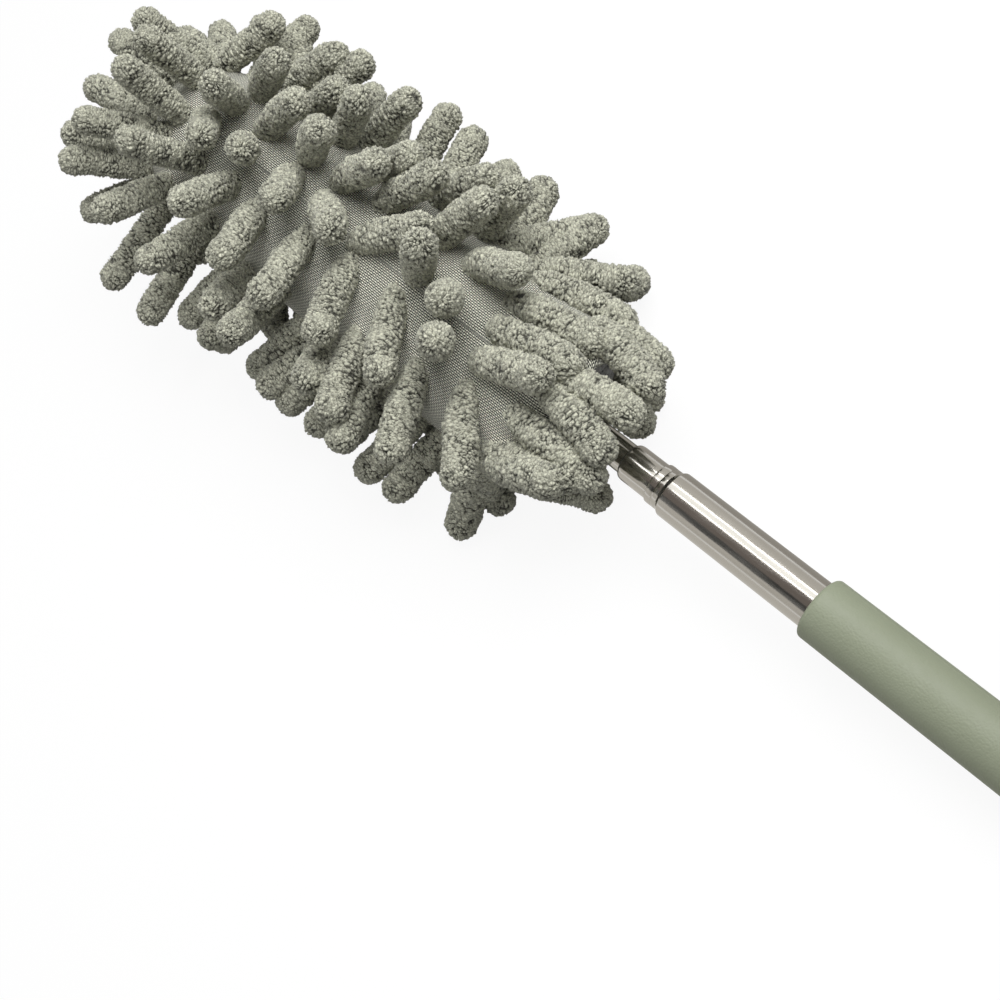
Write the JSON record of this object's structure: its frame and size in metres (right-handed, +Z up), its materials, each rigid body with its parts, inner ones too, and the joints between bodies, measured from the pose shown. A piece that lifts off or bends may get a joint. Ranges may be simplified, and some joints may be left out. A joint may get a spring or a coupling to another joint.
{
  "type": "chenille duster",
  "caption": "Hand duster with plump chenille fingers on a removable knitted cover, a telescopic steel pole and a moulded handle with a hanging eye.",
  "frame": {"origin": "middle of the bounding box, on the surface that the duster lies on", "axes": "+X from the handle towards the tip of the head, +Z up; the pole rises 4.5 degrees towards the tip"},
  "size_m": [0.5166, 0.1334, 0.0988],
  "materials": {
    "sage_plastic": "moulded, fine leather grain",
    "polished_steel": "polished stainless steel",
    "spring_steel": "plain spring steel",
    "spring_brass": "plain",
    "white_nylon": "moulded",
    "black_plastic": "moulded",
    "grey_foam": "open foam",
    "elastic_cord": "braided elastic",
    "chenille": "chenille pile on a mesh knit"
  },
  "bodies": {
    "handle_unit": {"handle_grip": "sage_plastic", "hang_cap": "sage_plastic", "outer_tube": "polished_steel", "outer_tube_plug": "white_nylon"},
    "middle_slide": {"middle_friction_sleeve": "spring_brass"},
    "middle_section": {"middle_tube": "polished_steel", "middle_tail_plug": "white_nylon"},
    "inner_slide": {"inner_friction_sleeve": "spring_brass"},
    "head_unit": {"inner_tube": "polished_steel", "inner_tail_plug": "white_nylon", "neck_socket": "black_plastic", "neck_pin": "spring_steel", "core_strip": "spring_steel", "strip_rivet_1": "spring_steel", "strip_rivet_2": "spring_steel", "strip_tip_cap": "black_plastic", "foam_core_upper": "grey_foam", "foam_core_lower": "grey_foam"},
    "cover_unit": {"chenille_cover": "chenille", "hem_elastic": "elastic_cord"}
  },
  "joints": [
    {"name": "middle_extension", "type": "slide", "parent": "handle_unit", "child": "middle_slide", "axis": [0.9969, 0, 0.0785], "range_m": [0, 0.17]},
    {"name": "middle_turn", "type": "hinge", "parent": "middle_slide", "child": "middle_section", "pos_m": [-0.0871, -0.00379, 0.02232], "axis": [0.9969, 0, 0.0785], "continuous": true},
    {"name": "inner_extension", "type": "slide", "parent": "middle_section", "child": "inner_slide", "axis": [0.9969, 0, 0.0785], "range_m": [0, 0.17]},
    {"name": "head_turn", "type": "hinge", "parent": "inner_slide", "child": "head_unit", "pos_m": [-0.0871, -0.00379, 0.02232], "axis": [0.9969, 0, 0.0785], "continuous": true},
    {"name": "cover_removal", "type": "slide", "parent": "head_unit", "child": "cover_unit", "axis": [0.9969, 0, 0.0785], "range_m": [0, 0.26]}
  ]
}
